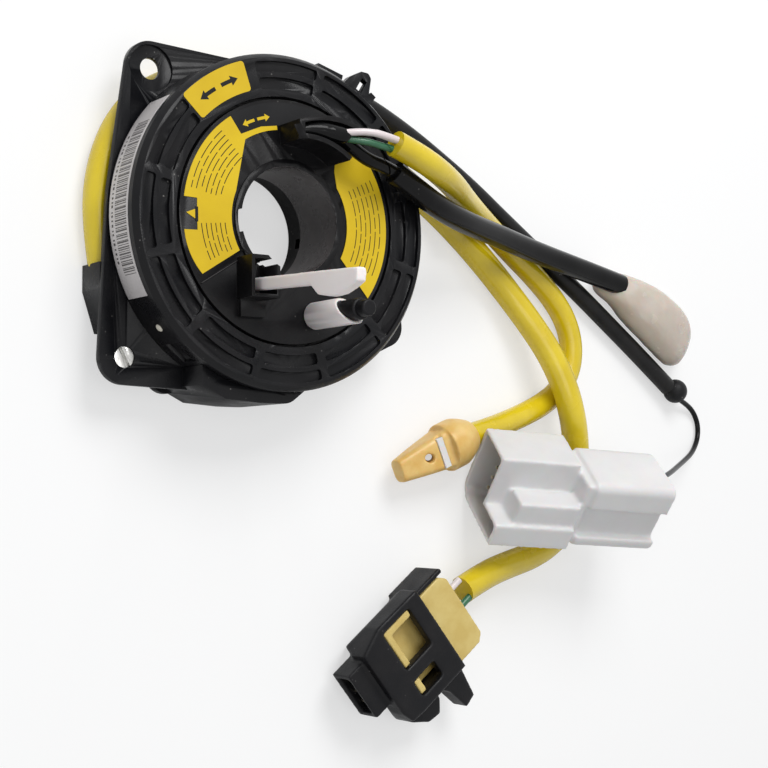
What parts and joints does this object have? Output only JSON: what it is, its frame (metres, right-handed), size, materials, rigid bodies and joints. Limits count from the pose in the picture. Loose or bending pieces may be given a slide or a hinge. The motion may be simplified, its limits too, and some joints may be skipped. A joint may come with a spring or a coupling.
{
  "type": "steering clock spring",
  "caption": "Steering clock spring: round black housing with a turning rotor, lock pin and labels, and yellow and black leads that end in white, orange and black plugs.",
  "frame": {"origin": "on the steering axis, in the rear resting plane", "axes": "+Z along the steering axis towards the steering wheel; +Y towards the rim's snap loop side; -X towards the stator cable's box"},
  "size_m": [0.2655, 0.2167, 0.091],
  "materials": {
    "black_plastic": "satin moulded",
    "rotor_plastic": "satin moulded",
    "natural_plastic": "moulded",
    "film": "smooth film",
    "ribbon_film": "laminated film",
    "steel": "zinc plated",
    "yellow_label": "printed paper label",
    "grey_label": "printed paper label",
    "white_plastic": "smooth moulded",
    "black_rubber": "satin",
    "white_pvc": "glossy",
    "green_pvc": "glossy",
    "black_pvc": "glossy",
    "yellow_pvc": "glossy",
    "white_nylon": "smooth moulded",
    "orange_nylon": "smooth moulded",
    "khaki_nylon": "smooth moulded",
    "black_nylon": "satin moulded",
    "beige_vinyl": "soft translucent",
    "tinned_brass": "plated"
  },
  "bodies": {
    "stator": {"rear_housing": "black_plastic", "front_cover": "black_plastic", "ear_screw": "steel", "slip_sheet": "film", "flat_ribbon": "ribbon_film", "outer_terminal_block": "natural_plastic", "ring_label": "yellow_label", "side_label": "grey_label", "stator_cable": "yellow_pvc", "airbag_cable": "yellow_pvc", "switch_sleeve": "black_pvc", "earth_sleeve": "black_pvc", "earth_wire": "black_pvc", "white_wire_tail": "white_pvc", "green_wire_tail": "green_pvc", "switch_leads_tail": "black_pvc", "white_plug": "white_nylon", "white_plug_pins": "tinned_brass", "airbag_plug": "orange_nylon", "locking_band": "white_nylon", "black_plug": "black_nylon", "black_plug_insert": "khaki_nylon", "black_plug_pins": "tinned_brass", "plug_white_wire": "white_pvc", "plug_green_wire": "green_pvc", "connector_cover": "beige_vinyl", "covered_plug": "white_nylon", "end_ball": "black_pvc"},
    "rotor": {"rotor_face": "rotor_plastic", "rotor_sleeve": "rotor_plastic", "inner_terminal_block": "natural_plastic", "rotor_label_left": "yellow_label", "rotor_label_right": "yellow_label", "drive_peg": "white_plastic", "peg_cap": "black_rubber", "white_wire": "white_pvc", "green_wire": "green_pvc", "switch_leads": "black_pvc"},
    "lock_pin": {"lock_pin": "white_plastic"}
  },
  "joints": [
    {"name": "rotor_turn", "type": "hinge", "parent": "stator", "child": "rotor", "pos_m": [0, 0, 0.02], "axis": [0, 0, 1], "range_deg": [-720, 720]},
    {"name": "lock_pin_pull", "type": "slide", "parent": "rotor", "child": "lock_pin", "axis": [0, 0, 1], "range_m": [0, 0.02]}
  ]
}
